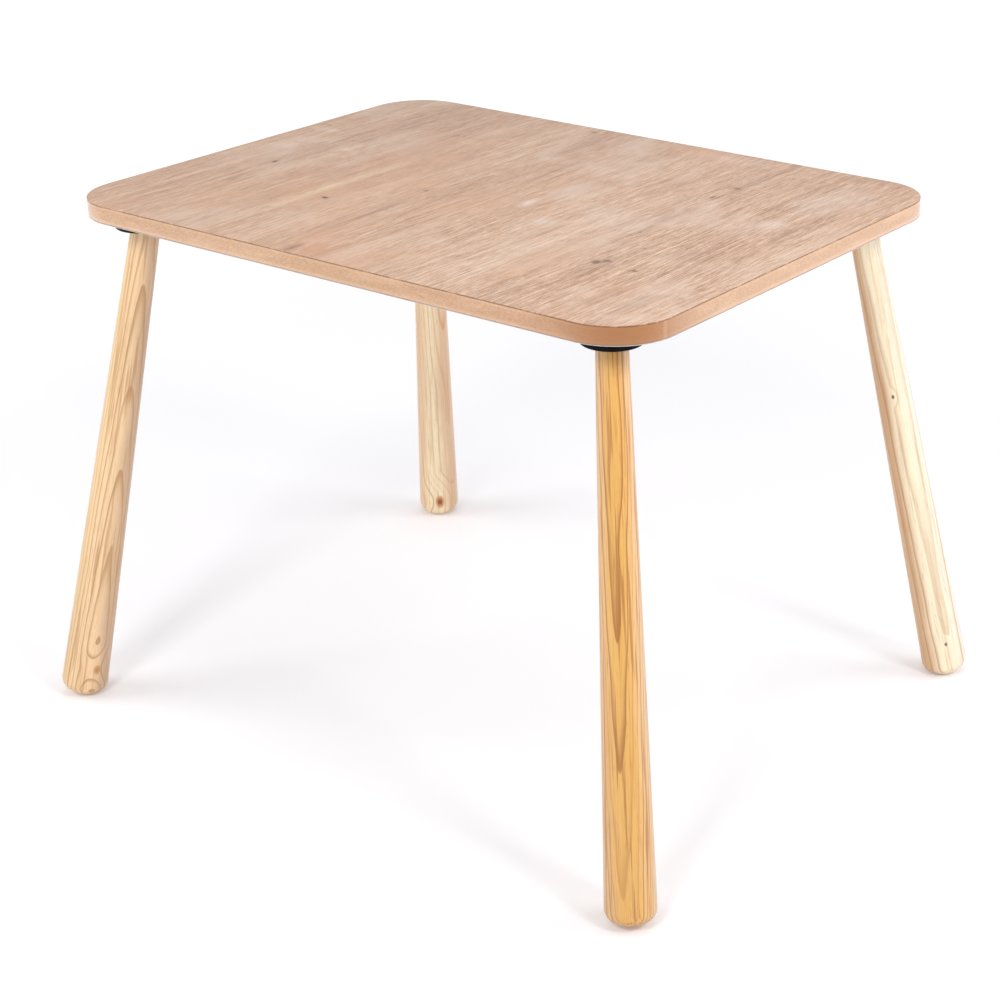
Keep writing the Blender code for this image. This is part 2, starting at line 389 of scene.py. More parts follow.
def srgb(*values):
    """A linear colour from 0 to 255 screen values."""
    return tuple(((v / 255 + 0.055) / 1.055) ** 2.4 for v in values)


# ---------------------------------------------------------------- materials


def oak_decor():
    """Printed oak decor under a satin wear layer: streaks along Y, pores, whitish clouds and knots."""
    g = Graph("oak_decor_face")
    p = g.object_point()
    x, y, z = g.apart(p)
    sway = g.noise(g.mapped(p, scale=(7, 2.2, 1)), detail=2.0)
    fine_sway = g.noise(g.mapped(p, scale=(40, 9, 1)), detail=1.0)
    x = g.math("MULTIPLY_ADD", g.math("SUBTRACT", sway, 0.5), 0.022, x)
    x = g.math("MULTIPLY_ADD", g.math("SUBTRACT", fine_sway, 0.5), 0.0022, x)
    q = g.together(x, y, z)
    broad = g.noise(g.mapped(q, scale=(24, 1.3, 1)), detail=3.0, roughness=0.55)
    streak = g.noise(g.mapped(q, scale=(110, 2.6, 1)), detail=3.0, roughness=0.6)
    line = g.noise(g.mapped(q, scale=(880, 14.0, 1)), detail=3.0, roughness=0.65)
    fibre = g.noise(g.mapped(q, scale=(1500, 70, 1)), detail=3.0, roughness=0.75)
    pore = g.noise(g.mapped(q, scale=(1150, 38, 1), location=(3, 1, 0)), detail=1.0)
    cloud = g.noise(g.mapped(p, scale=(9, 6.5, 1)), detail=4.0, roughness=0.62, distortion=0.6)
    hazy = g.mapped(p, scale=(26, 16, 1), location=(5, 2, 0))
    haze = g.noise(hazy, detail=4.0, roughness=0.65, distortion=1.0)

    # The grain grows crisper towards the front right corner.
    crisp = g.span(g.math("MULTIPLY_ADD", y, -0.5, x), -0.10, 0.32, 1.38, 1.95)
    tone = g.math("MULTIPLY_ADD", g.math("SUBTRACT", broad, 0.5), 0.36, 0.5)
    tone = g.math("MULTIPLY_ADD", g.math("SUBTRACT", streak, 0.5), 0.30, tone)
    tone = g.math("MULTIPLY_ADD", g.math("SUBTRACT", line, 0.5), g.math("MULTIPLY", crisp, 0.80), tone)
    tone = g.math("MULTIPLY_ADD", g.math("SUBTRACT", fibre, 0.5), g.math("MULTIPLY", crisp, 1.10), tone)
    colour = g.ramp(
        tone,
        [
            (0.16, srgb(162, 122, 98)),
            (0.38, srgb(191, 153, 128)),
            (0.55, srgb(207, 171, 146)),
            (0.80, srgb(229, 200, 176)),
        ],
    )
    warm = g.noise(g.mapped(p, scale=(6, 4, 1), location=(9, 4, 0)), detail=3.0)
    warm = g.span(warm, 0.48, 0.72, 0.0, 0.45)
    colour = g.mix(warm, colour, srgb(210, 161, 130))
    colour = g.mix(g.span(cloud, 0.50, 0.74, 0.0, 0.50), colour, srgb(222, 200, 183))
    colour = g.mix(g.span(haze, 0.56, 0.78, 0.0, 0.22), colour, srgb(203, 186, 178))
    colour = g.mix(g.span(pore, 0.64, 0.74, 0.0, 0.42), colour, srgb(150, 116, 90))
    colour = decor_features(g, p, q, haze, colour)
    sheen_noise = g.noise(g.mapped(p, scale=(60, 40, 1)), detail=3.0)
    roughness = g.span(sheen_noise, 0.3, 0.7, 0.36, 0.46)
    roughness = g.math("MULTIPLY_ADD", g.math("SUBTRACT", fibre, 0.5), 0.10, roughness)
    relief = g.math("ADD", g.math("MULTIPLY", line, 0.5), g.math("MULTIPLY", fibre, 0.5))
    relief = g.math("SUBTRACT", relief, g.span(pore, 0.62, 0.74, 0.0, 0.5))
    normal = g.bump(relief, 0.00012, 0.35)
    return g.finish(colour, roughness, normal, Coat_Weight=0.25, Coat_Roughness=0.32, Coat_IOR=1.45)


def decor_features(g, p, q, haze, colour):
    """The printed sheet's own marks: darker and paler runs of grain, smoky patches and small knots."""
    smoke, brown = srgb(160, 132, 120), srgb(132, 92, 66)
    pale, amber = srgb(228, 212, 200), srgb(203, 146, 106)
    ragged = g.noise(g.mapped(p, scale=(70, 22, 1), location=(2, 7, 0)), detail=4.0, roughness=0.7)
    shift = g.math("SUBTRACT", ragged, 0.5)
    px, py, pz = g.apart(q)
    wavy = g.together(
        g.math("MULTIPLY_ADD", shift, 0.010, px), g.math("MULTIPLY_ADD", shift, 0.030, py), pz
    )
    grainy = g.noise(g.mapped(q, scale=(420, 10, 1), location=(1, 5, 0)), detail=2.0)
    grainy = g.span(grainy, 0.38, 0.62, 0.35, 1.0)
    # Each run has its middle, its half size in plan, its tint and its strength.
    runs = [
        ((-0.252, 0.165), (0.014, 0.090), smoke, 0.42),
        ((-0.252, 0.074), (0.010, 0.018), smoke, 0.62),
        ((-0.048, 0.195), (0.013, 0.065), smoke, 0.48),
        ((-0.115, 0.075), (0.016, 0.060), smoke, 0.24),
        ((-0.175, 0.078), (0.022, 0.045), smoke, 0.20),
        ((-0.197, -0.020), (0.007, 0.050), smoke, 0.22),
        ((-0.119, -0.180), (0.011, 0.090), smoke, 0.28),
        ((0.181, 0.190), (0.008, 0.052), smoke, 0.75),
        ((0.178, 0.150), (0.010, 0.008), smoke, 0.55),
        ((0.182, 0.030), (0.012, 0.065), smoke, 0.34),
        ((0.310, 0.050), (0.018, 0.060), smoke, 0.26),
        ((0.275, -0.040), (0.030, 0.060), smoke, 0.18),
        ((-0.062, -0.150), (0.006, 0.105), brown, 0.34),
        ((-0.047, -0.249), (0.011, 0.022), brown, 0.70),
        ((-0.275, -0.130), (0.005, 0.120), brown, 0.16),
        ((0.200, -0.225), (0.011, 0.042), brown, 0.34),
        ((0.273, -0.200), (0.012, 0.046), brown, 0.40),
        ((0.215, -0.160), (0.014, 0.050), brown, 0.16),
        ((-0.025, -0.240), (0.018, 0.020), amber, 0.65),
        ((-0.030, 0.118), (0.010, 0.014), amber, 0.34),
        ((0.165, -0.150), (0.036, 0.100), amber, 0.34),
        ((0.167, -0.196), (0.009, 0.009), amber, 0.55),
        ((-0.205, -0.170), (0.050, 0.080), amber, 0.22),
        ((-0.315, -0.030), (0.022, 0.020), amber, 0.26),
    ]
    for centre, size, tint, most in runs:
        share = g.math("MULTIPLY", g.spot(wavy, centre, size, 0.15), grainy)
        colour = g.mix(g.math("MULTIPLY", share, most), colour, tint)
    cloudy = [
        ((0.042, -0.012), (0.013, 0.026), 0.85),
        ((0.055, 0.048), (0.036, 0.055), 0.50),
        ((0.093, -0.052), (0.022, 0.022), 0.62),
        ((0.130, 0.000), (0.060, 0.040), 0.30),
        ((0.290, 0.165), (0.050, 0.090), 0.50),
        ((0.280, 0.068), (0.020, 0.020), 0.60),
        ((-0.318, 0.086), (0.030, 0.012), 0.55),
        ((-0.309, 0.008), (0.022, 0.014), 0.40),
        ((-0.245, 0.036), (0.026, 0.012), 0.42),
        ((0.120, 0.240), (0.060, 0.020), 0.34),
        ((0.302, -0.150), (0.030, 0.060), 0.26),
    ]
    for centre, size, most in cloudy:
        share = g.math("MULTIPLY", g.spot(wavy, centre, size, 0.0), g.span(haze, 0.30, 0.60, 0.35, 1.0))
        colour = g.mix(g.math("MULTIPLY", share, most), colour, pale)
    streak = g.math("MULTIPLY", g.spot(wavy, (-0.160, -0.085), (0.013, 0.175), 0.0), grainy)
    streak = g.math("MULTIPLY", streak, g.span(ragged, 0.36, 0.60, 0.30, 1.0))
    colour = g.mix(g.math("MULTIPLY", streak, 0.75), colour, srgb(231, 210, 172))
    rough_edge = g.together(
        g.math("MULTIPLY_ADD", shift, 0.005, px), g.math("MULTIPLY_ADD", shift, -0.005, py), pz
    )
    swirl = g.vector("LENGTH", g.vector("SUBTRACT", g.together(px, py, 0.0), (0.307, -0.212, 0)))
    ring = g.math("MULTIPLY", g.span(swirl, 0.0220, 0.0236), g.span(swirl, 0.0268, 0.0248))
    colour = g.mix(g.math("MULTIPLY", g.math("MULTIPLY", ring, grainy), 0.14), colour, pale)
    knots = [
        ((-0.2720, -0.0440), (0.0036, 0.0056), 0.80),
        ((-0.1370, -0.1120), (0.0056, 0.0038), 0.92),
        ((0.2100, -0.1220), (0.0062, 0.0080), 0.70),
        ((0.2170, -0.1145), (0.0070, 0.0060), 0.62),
        ((0.2533, -0.1238), (0.0046, 0.0030), 0.60),
        ((0.1757, 0.1110), (0.0024, 0.0056), 0.85),
        ((0.1780, 0.1510), (0.0060, 0.0045), 0.45),
        ((-0.0693, -0.0355), (0.0034, 0.0044), 0.50),
        ((0.1850, -0.0255), (0.0030, 0.0044), 0.45),
        ((0.2227, -0.0650), (0.0014, 0.0020), 0.60),
        ((-0.0730, 0.2460), (0.0040, 0.0060), 0.50),
    ]
    for centre, size, most in knots:
        halo = g.spot(rough_edge, centre, (size[0] * 2.4, size[1] * 3.2), 0.1)
        colour = g.mix(g.math("MULTIPLY", halo, 0.22), colour, smoke)
        core = g.spot(rough_edge, centre, size, 0.25)
        colour = g.mix(g.math("MULTIPLY", core, most), colour, srgb(92, 64, 52))
    ticks = [
        ((-0.179, 0.1485), (0.025, 0.0017), 0.65),
        ((-0.332, 0.101), (0.012, 0.0030), 0.60),
        ((-0.298, 0.091), (0.010, 0.0016), 0.45),
        ((-0.307, 0.029), (0.012, 0.0020), 0.45),
        ((0.236, -0.1245), (0.014, 0.0012), 0.40),
    ]
    for centre, size, most in ticks:
        broken = g.span(g.noise(g.mapped(p, scale=(330, 60, 1)), detail=1.0), 0.40, 0.54)
        share = g.math("MULTIPLY", g.spot(rough_edge, centre, size, 0.2), broken)
        colour = g.mix(g.math("MULTIPLY", share, most), colour, srgb(112, 86, 74))
    return colour


def white_backing():
    """The plain pale laminate underneath: faint mottling, fine orange-peel relief and light rub marks."""
    g = Graph("white_backing_laminate")
    p = g.object_point()
    mottle = g.noise(p, scale=12, detail=4.0, roughness=0.6)
    peel = g.noise(p, scale=650, detail=2.0)
    rubs = g.noise(g.mapped(p, scale=(30, 240, 30)), detail=4.0, roughness=0.7)
    colour = g.mix(g.span(mottle, 0.35, 0.65), srgb(186, 172, 166), srgb(198, 187, 182))
    colour = g.mix(g.span(rubs, 0.60, 0.74, 0.0, 0.30), colour, srgb(176, 168, 166))
    roughness = g.span(rubs, 0.45, 0.70, 0.42, 0.56)
    return g.finish(colour, roughness, g.bump(peel, 0.00006, 0.3))


def laminate_edge():
    """The cut edge of the laminate: brown resin-soaked paper, chipped pale here and there."""
    g = Graph("laminate_cut_edge")
    p = g.object_point()
    grain = g.noise(p, scale=900, detail=3.0, roughness=0.7)
    chips = g.noise(p, scale=55, detail=4.0, roughness=0.75)
    colour = g.mix(grain, srgb(136, 95, 66), srgb(172, 130, 100))
    colour = g.mix(g.span(chips, 0.52, 0.62, 0.0, 0.8), colour, srgb(205, 166, 132))
    return g.finish(colour, g.span(grain, 0.3, 0.7, 0.4, 0.6), g.bump(grain, 0.0001, 0.4))


def lacquered_mdf():
    """Sanded MDF under clear lacquer: fine pressed fibres, paler towards the board's faces. The pale band
    at the underside is painted light bounced up from the floor.

    The edge is painted darker and golden at the front right corner, and a faint pale vertical line stands
    beside it.
    """
    g = Graph("lacquered_mdf_edge")
    p = g.object_point()
    z = g.apart(p)[2]
    speck = g.noise(p, scale=950, detail=3.0, roughness=0.8)
    flakes = g.noise(g.mapped(p, scale=(260, 260, 1500)), detail=3.0, roughness=0.65)
    patches = g.noise(g.mapped(p, scale=(14, 14, 60)), detail=3.0, roughness=0.6)
    colour = g.mix(g.span(flakes, 0.3, 0.7), srgb(182, 136, 96), srgb(205, 163, 124))
    colour = g.mix(g.span(patches, 0.42, 0.72, 0.0, 0.45), colour, srgb(222, 180, 146))
    colour = g.mix(g.span(speck, 0.52, 0.66, 0.0, 0.55), colour, srgb(150, 102, 66))
    colour = g.mix(g.span(speck, 0.22, 0.36, 0.40, 0.0), colour, srgb(236, 204, 170))
    # Painted light: a paler band along the lower arris, as light bounced up from the floor.
    below = g.span(z, CORE_LOW.z + 0.0045, CORE_LOW.z + 0.0006, 0.0, 0.40)
    colour = g.mix(below, colour, srgb(233, 197, 162))
    above = g.span(z, CORE_HIGH.z - 0.0030, CORE_HIGH.z - 0.0004, 0.0, 0.25)
    colour = g.mix(above, colour, srgb(231, 194, 158))
    golden = g.spot(p, (0.345, -0.258), (0.125, 0.125), 0.1)
    colour = g.mix(g.math("MULTIPLY", golden, 0.90), colour, srgb(160, 98, 30))
    pale_line = g.spot(p, (0.3485, -0.213), (0.009, 0.0036), 0.0)
    colour = g.mix(g.math("MULTIPLY", pale_line, 0.14), colour, srgb(238, 206, 172))
    ripple = g.noise(g.mapped(p, scale=(60, 60, 160)), detail=2.0)
    normal = g.bump(g.math("MULTIPLY_ADD", flakes, 0.35, g.math("MULTIPLY", ripple, 0.65)), 0.00030, 0.30)
    roughness = g.span(flakes, 0.3, 0.7, 0.40, 0.52)
    return g.finish(colour, roughness, normal, Coat_Weight=0.8, Coat_Roughness=0.16, Coat_IOR=1.5)


def leg_wood(corner, look):
    """Solid wood turned to the leg's taper: growth rings cut at a slant, fibres, pores and the odd knot.

    The two flanks of each leg are tinted lighter and darker: this is painted light and shade, not the
    timber's own colour.
    """
    g = Graph(f"leg_wood_{corner}")
    place = leg_frame(corner)
    p = g.mapped(
        g.object_point(), location=place.to_translation(), rotation=place.to_euler("XYZ"), kind="TEXTURE"
    )
    p = g.vector("ADD", p, (0, 0, look["seed"] + SEAT_RISE))
    x, y, z = g.apart(p)
    z = g.math("SUBTRACT", z, look["seed"])
    heart = math.radians(look["heart_deg"]) - outwards_angle(corner)
    lean = math.radians(look["lean_deg"]) - outwards_angle(corner)
    slope = look["slope"]
    away = look["heart_distance"]
    heart_x = g.math("MULTIPLY_ADD", z, slope * math.cos(lean), away * math.cos(heart))
    heart_y = g.math("MULTIPLY_ADD", z, slope * math.sin(lean), away * math.sin(heart))
    bend = g.noise(g.mapped(p, scale=(20, 20, 5)), detail=2.0)
    waver = g.noise(g.mapped(p, scale=(110, 110, 14)), detail=2.0)
    dx = g.math("SUBTRACT", x, heart_x)
    dy = g.math("SUBTRACT", y, heart_y)
    distance = g.math("SQRT", g.math("ADD", g.math("MULTIPLY", dx, dx), g.math("MULTIPLY", dy, dy)))
    distance = g.math("MULTIPLY_ADD", g.math("SUBTRACT", bend, 0.5), look["bend"], distance)
    distance = g.math("MULTIPLY_ADD", g.math("SUBTRACT", waver, 0.5), 0.0011, distance)
    knot_share, knot_core, knot_ring = 0.0, 0.0, 0.0
    for facing_deg, down, radius in look["knots"]:
        around = math.radians(facing_deg) - outwards_angle(corner)
        at = LEG_TOP_RADIUS + (LEG_FOOT_RADIUS - LEG_TOP_RADIUS) * down / LEG_LENGTH
        centre = (at * math.cos(around), at * math.sin(around), look["seed"] - down)
        apart = g.vector("MULTIPLY", g.vector("SUBTRACT", p, centre), (1, 1, 0.62))
        gone = g.vector("LENGTH", apart)
        gone = g.math("MULTIPLY_ADD", g.math("SUBTRACT", waver, 0.5), radius * 0.8, gone)
        knot_share = g.math("ADD", knot_share, g.span(gone, radius * 1.25, radius * 0.60), clamp=True)
        knot_core = g.math("ADD", knot_core, g.span(gone, radius * 0.60, radius * 0.25), clamp=True)
        knot_ring = g.math("ADD", knot_ring, g.span(gone, radius * 5.5, radius * 0.8, 0.0, radius * 2.2))
    distance = g.math("ADD", distance, knot_ring)
    years_out = g.math("DIVIDE", distance, look["ring"])
    ring = g.math("FRACT", years_out)
    rise = g.span(ring, 0.48, 0.93)
    band = g.math("MULTIPLY", g.math("MULTIPLY", rise, rise), g.span(ring, 1.0, 0.95))
    years = g.noise(g.together(years_out, 0.3, look["seed"]), scale=0.9, detail=1.0)
    band = g.math("MULTIPLY", band, g.span(years, 0.35, 0.60, 0.35, 1.0))
    streak = g.noise(g.mapped(p, scale=(150, 150, 5)), detail=3.0, roughness=0.6)
    line = g.noise(g.mapped(p, scale=(360, 360, 7), location=(2, 6, 0)), detail=2.0)
    fibre = g.noise(g.mapped(p, scale=(1100, 1100, 34)), detail=2.0, roughness=0.7)
    pore = g.noise(g.mapped(p, scale=(1300, 1300, 55), location=(4, 0, 0)), detail=1.0)
    around = g.vector("NORMALIZE", g.together(x, y, 0.0))
    wander = g.math("MULTIPLY", g.math("SUBTRACT", bend, 0.5), 0.9)
    colour = look["light"]
    # Painted light and shade: each flank takes its own tint, lighter on the lit side and darker on the
    # shaded side.
    for facing_deg, tint in ((LEFT_PAINTED_SHADING_DEG, look["left"]), (RIGHT_PAINTED_SHADING_DEG, look["right"])):
        facing = math.radians(facing_deg) - outwards_angle(corner)
        share = g.vector("DOT_PRODUCT", around, (math.cos(facing), math.sin(facing), 0))
        colour = g.mix(g.span(g.math("ADD", share, wander), 0.15, 0.95), colour, tint)
    colour = g.mix(g.span(streak, 0.46, 0.72, 0.0, look["streaks"]), colour, look["warm"])
    colour = g.mix(g.span(streak, 0.28, 0.46, look["streaks"], 0.0), colour, look["pale"])
    colour = g.mix(g.math("MULTIPLY", band, look["contrast"]), colour, look["dark"])
    colour = g.mix(g.span(line, 0.53, 0.66, 0.0, look["lines"]), colour, look["dark"])
    colour = g.mix(g.span(fibre, 0.52, 0.80, 0.0, 0.40), colour, look["dark"])
    colour = g.mix(g.span(pore, 0.64, 0.72, 0.0, 0.28), colour, look["pore"])
    colour = g.mix(g.math("MULTIPLY", knot_share, 0.85), colour, look["knot"])
    colour = g.mix(g.math("MULTIPLY", knot_core, 0.80), colour, look["core"])
    foot = SEAT_RISE - LEG_LENGTH
    end = g.span(z, foot + 0.012, foot + 0.001, 0.0, 0.35)
    colour = g.mix(end, colour, look["dark"])
    roughness = g.math("MULTIPLY_ADD", band, -0.05, g.span(fibre, 0.3, 0.7, 0.38, 0.48))
    relief = g.math("MULTIPLY_ADD", fibre, 0.4, g.math("MULTIPLY", band, 0.35))
    relief = g.math("SUBTRACT", relief, g.span(pore, 0.62, 0.74, 0.0, 0.5))
    normal = g.bump(relief, 0.00015, 0.30)
    return g.finish(colour, roughness, normal, Coat_Weight=0.55, Coat_Roughness=0.24, Coat_IOR=1.48)


def black_plastic():
    """Black moulded plastic with a gloss skin, faint flow ripples and dust-fine specks."""
    g = Graph("black_moulded_plastic")
    p = g.object_point()
    flow = g.noise(g.mapped(p, scale=(90, 90, 90)), detail=3.0)
    specks = g.noise(p, scale=2600, detail=1.0)
    colour = g.mix(g.span(flow, 0.35, 0.7), srgb(8, 8, 9), srgb(14, 14, 16))
    colour = g.mix(g.span(specks, 0.70, 0.80, 0.0, 0.25), colour, srgb(40, 40, 43))
    roughness = g.span(flow, 0.3, 0.7, 0.20, 0.32)
    normal = g.bump(g.math("MULTIPLY_ADD", specks, 0.3, flow), 0.00010, 0.25)
    return g.finish(colour, roughness, normal, Specular_IOR_Level=0.07)


def zinc_steel():
    """Bright zinc plate on steel: a faint blue and yellow cast, and fine crystal mottling."""
    g = Graph("bright_zinc_steel")
    p = g.object_point()
    mottle = g.noise(p, scale=420, detail=4.0, roughness=0.6)
    cast = g.noise(p, scale=70, detail=2.0)
    colour = g.mix(g.span(cast, 0.35, 0.65), srgb(186, 194, 206), srgb(206, 202, 188))
    colour = g.mix(g.span(mottle, 0.5, 0.75, 0.0, 0.35), colour, srgb(150, 152, 158))
    roughness = g.span(mottle, 0.3, 0.7, 0.22, 0.42)
    return g.finish(colour, roughness, g.bump(mottle, 0.00005, 0.3), Metallic=1.0)


# Each leg's timber. The tree's heart lies heart_distance from the leg's axis, towards heart_deg in plan.
# Going up, it leans by slope towards lean_deg. A year's ring is "ring" thick. A knot has the direction
# that it faces in plan, its distance down the leg and its radius.
# left and right are the flanks' painted light and shade; the back right leg's near-white right tint is a
# painted highlight.
LEG_LOOKS = {
    "front_right": {
        "seed": 1.7, "heart_deg": -66, "heart_distance": 0.060, "lean_deg": 118, "slope": 0.048,
        "bend": 0.010, "ring": 0.0042, "contrast": 0.92, "streaks": 0.50, "lines": 0.70,
        "light": srgb(231, 177, 93), "left": srgb(219, 176, 120), "right": srgb(223, 183, 133),
        "dark": srgb(170, 108, 44), "warm": srgb(218, 156, 70), "pale": srgb(232, 190, 126),
        "pore": srgb(146, 96, 50), "knot": srgb(120, 74, 44), "core": srgb(90, 50, 28), "knots": [],
    },
    "front_left": {
        "seed": 4.1, "heart_deg": -24, "heart_distance": 0.052, "lean_deg": -30, "slope": 0.030,
        "bend": 0.010, "ring": 0.0050, "contrast": 0.78, "streaks": 0.40, "lines": 0.56,
        "light": srgb(246, 209, 162), "left": srgb(227, 191, 134), "right": srgb(195, 162, 131),
        "dark": srgb(180, 130, 74), "warm": srgb(220, 178, 122), "pale": srgb(240, 212, 168),
        "pore": srgb(158, 116, 78), "knot": srgb(190, 132, 64), "core": srgb(184, 122, 54),
        "knots": [(-16, 0.488, 0.0042)],
    },
    "back_left": {
        "seed": 7.6, "heart_deg": 4, "heart_distance": 0.044, "lean_deg": 150, "slope": 0.060,
        "bend": 0.014, "ring": 0.0056, "contrast": 0.62, "streaks": 0.28, "lines": 0.26,
        "light": srgb(254, 235, 195), "left": srgb(230, 192, 150), "right": srgb(216, 180, 142),
        "dark": srgb(194, 138, 94), "warm": srgb(236, 200, 156), "pale": srgb(250, 230, 194),
        "pore": srgb(172, 128, 92), "knot": srgb(204, 126, 54), "core": srgb(116, 48, 22),
        "knots": [(-46, 0.497, 0.0056)],
    },
    "back_right": {
        "seed": 9.2, "heart_deg": -40, "heart_distance": 0.050, "lean_deg": 150, "slope": 0.034,
        "bend": 0.008, "ring": 0.0085, "contrast": 0.88, "streaks": 0.26, "lines": 0.24,
        "light": srgb(252, 238, 206), "left": srgb(205, 160, 112), "right": srgb(231, 223, 203),
        "dark": srgb(176, 124, 72), "warm": srgb(232, 202, 158), "pale": srgb(246, 232, 204),
        "pore": srgb(172, 132, 94), "knot": srgb(92, 52, 34), "core": srgb(38, 22, 16),
        "knots": [(-62, 0.178, 0.0017), (-44, 0.480, 0.0016)],
    },
}
# The directions in plan that a leg's two flanks face, where painted light and shade tint the wood
LEFT_PAINTED_SHADING_DEG, RIGHT_PAINTED_SHADING_DEG = -144, 36


# ---------------------------------------------------------------- the top


def rounded_outline(inset):
    """The top's rounded rectangle, drawn in by inset, anticlockwise."""
    points = []
    for quarter, (side_x, side_y) in enumerate(((1, 1), (-1, 1), (-1, -1), (1, -1))):
        centre_x = side_x * (HALF_LENGTH - CORNER_RADIUS)
        centre_y = side_y * (HALF_WIDTH - CORNER_RADIUS)
        for step in range(CORNER_STEPS + 1):
            angle = math.radians(90 * (quarter + step / CORNER_STEPS))
            x = centre_x + (CORNER_RADIUS - inset) * math.cos(angle)
            y = centre_y + (CORNER_RADIUS - inset) * math.sin(angle)
            points.append((x, y))
    return points


def eased_slab(bottom, top, low_ease, high_ease, steps=4):
    """A board with the top's outline and rounded arrises."""
    levels = []
    for step in range(steps + 1):
        angle = math.pi / 2 * step / steps
        levels.append((low_ease * (1 - math.sin(angle)), bottom + low_ease * (1 - math.cos(angle))))
    for step in range(steps + 1):
        angle = math.pi / 2 * step / steps
        levels.append((high_ease * (1 - math.cos(angle)), top - high_ease * (1 - math.sin(angle))))
    bm = bmesh.new()
    rings = [[bm.verts.new((x, y, z)) for x, y in rounded_outline(inset)] for inset, z in levels]
    count = len(rings[0])
    for lower, upper in zip(rings, rings[1:]):
        for i in range(count):
            j = (i + 1) % count
            bm.faces.new((lower[i], lower[j], upper[j], upper[i]))
    bm.faces.new(list(reversed(rings[0])))
    bm.faces.new(rings[-1])
    bmesh.ops.remove_doubles(bm, verts=bm.verts, dist=1e-7)
    return bm


def pilot_holes():
    depth = SCREW_LENGTH - SCREW_SEAT
    radius = SCREW_RADIUS + GAP
    profile = [(0, depth + GAP), (radius, depth + GAP), (radius, -BLOCK_WALL), (0, -BLOCK_WALL)]
    holes = []
    for corner in CORNERS:
        for x, y in screw_places():
            holes.append(turned(profile, 24, block_frame(corner) @ Matrix.Translation((x, y, 0))))
    return joined(holes)


def sides_to_second_material(mesh):
    """Every face but the level upper one takes the second material slot."""
    for polygon in mesh.polygons:
        polygon.material_index = 0 if polygon.normal.z > 0.999 else 1


def build_top(decor, mdf, cut_edge, white):
    face = finished(
        eased_slab(FACE_LOW.z, FACE_HIGH.z, 0.00005, LAMINATE_EASE), "tabletop_face", 50
    )
    sides_to_second_material(face)
    add_piece(
        "tabletop_face", face, "table", ["tabletop_top_laminate"], "oak_decor_laminate", decor, cut_edge
    )
    core = finished(eased_slab(CORE_LOW.z, CORE_HIGH.z, CORE_EASE, CORE_EASE), "core")
    core = cut_mesh(core, [pilot_holes()], "tabletop_board")
    add_piece("tabletop_board", core, "table", ["tabletop_core"], "mdf_core", mdf)
    backing = finished(eased_slab(BACKING_LOW.z, BACKING_HIGH.z, LAMINATE_EASE, 0.00005), "backing")
    backing = cut_mesh(backing, [pilot_holes()], "tabletop_backing")
    add_piece(
        "tabletop_backing", backing, "table", ["tabletop_bottom_laminate"], "white_backing_laminate", white
    )


# ---------------------------------------------------------------- blocks


def rib_cross():
    """A plus-shaped wall across the block's hollow, lower than the hub."""
    bm = bmesh.new()
    near, far = RIB_THICKNESS / 2, BLOCK_RADIUS
    corners = [(near, near), (near, far), (-near, far), (-near, near), (-far, near), (-far, -near)]
    corners += [(-x, -y) for x, y in corners]
    face = bm.faces.new([bm.verts.new((x, y, RIB_TOP)) for x, y in corners])
    grown = bmesh.ops.extrude_face_region(bm, geom=[face])["geom"]
    lowered = [item for item in grown if isinstance(item, bmesh.types.BMVert)]
    bmesh.ops.translate(bm, verts=lowered, vec=(0, 0, -2 * BLOCK_DEPTH))
    return bm


def block_pocket():
    """The hollow above the block's floor, which leaves the socket, hub, screw tubes and ribs standing."""
    radius, floor = BLOCK_RADIUS - BLOCK_WALL, BLOCK_WALL - BLOCK_DEPTH
    hollow = turned([(0, BLOCK_WALL), (radius, BLOCK_WALL), (radius, floor), (0, floor)], 72)
    outer, below = SOCKET_RADIUS + SOCKET_WALL, -2 * BLOCK_DEPTH
    post = [(0, HUB_TOP), (HUB_RADIUS, HUB_TOP), (HUB_RADIUS, SOCKET_ROOF), (outer, SOCKET_ROOF)]
    post = turned(post + [(outer, below), (0, below)], 48, tilt_to_leg())
    tube = [(0, 2 * BLOCK_WALL), (SCREW_TUBE_RADIUS, 2 * BLOCK_WALL)]
    tube += [(SCREW_TUBE_RADIUS, below), (0, below)]
    tubes = [turned(tube, 32, Matrix.Translation((x, y, 0))) for x, y in screw_places()]
    pocket = cut_mesh(finished(hollow, "pocket"), [post, joined(tubes), rib_cross()], "block_pocket")
    return to_bmesh(pocket)


def block_bores():
    """The stepped screw holes, and the bore on the leg's axis for the nut, the bolt and the leg's head."""
    shank, well = SCREW_RADIUS + GAP, SCREW_WELL_RADIUS
    above, below = BLOCK_WALL, -2 * BLOCK_DEPTH
    screw_hole = [(0, above), (shank, above), (shank, -SCREW_SEAT), (well, -SCREW_SEAT)]
    screw_hole += [(well, below), (0, below)]
    bores = [turned(screw_hole, 32, Matrix.Translation((x, y, 0))) for x, y in screw_places()]
    bolt, nut, end = BOLT_RADIUS + 2 * GAP, NUT_BARREL_RADIUS + GAP, HUB_TOP + BLOCK_WALL
    leg_bore = [(0, end), (nut, end), (nut, SOCKET_ROOF), (bolt, SOCKET_ROOF), (bolt, 0)]
    leg_bore += [(SOCKET_RADIUS, 0), (SOCKET_RADIUS, below), (0, below)]
    bores.append(turned(leg_bore, 64, tilt_to_leg()))
    return joined(bores)


def block_mesh():
    """A round block with a rounded lower rim, hollowed and bored."""
    rim = BLOCK_RIM_ROUND
    profile = [(0, -GAP), (BLOCK_RADIUS, -GAP)]
    profile += arc(BLOCK_RADIUS - rim, rim - BLOCK_DEPTH, rim, 0, -90, 6)
    body = finished(turned(profile + [(0, -BLOCK_DEPTH)], 96), "body")
    return cut_mesh(body, [block_pocket(), block_bores()], "block")


# ---------------------------------------------------------------- threads, screws, nuts


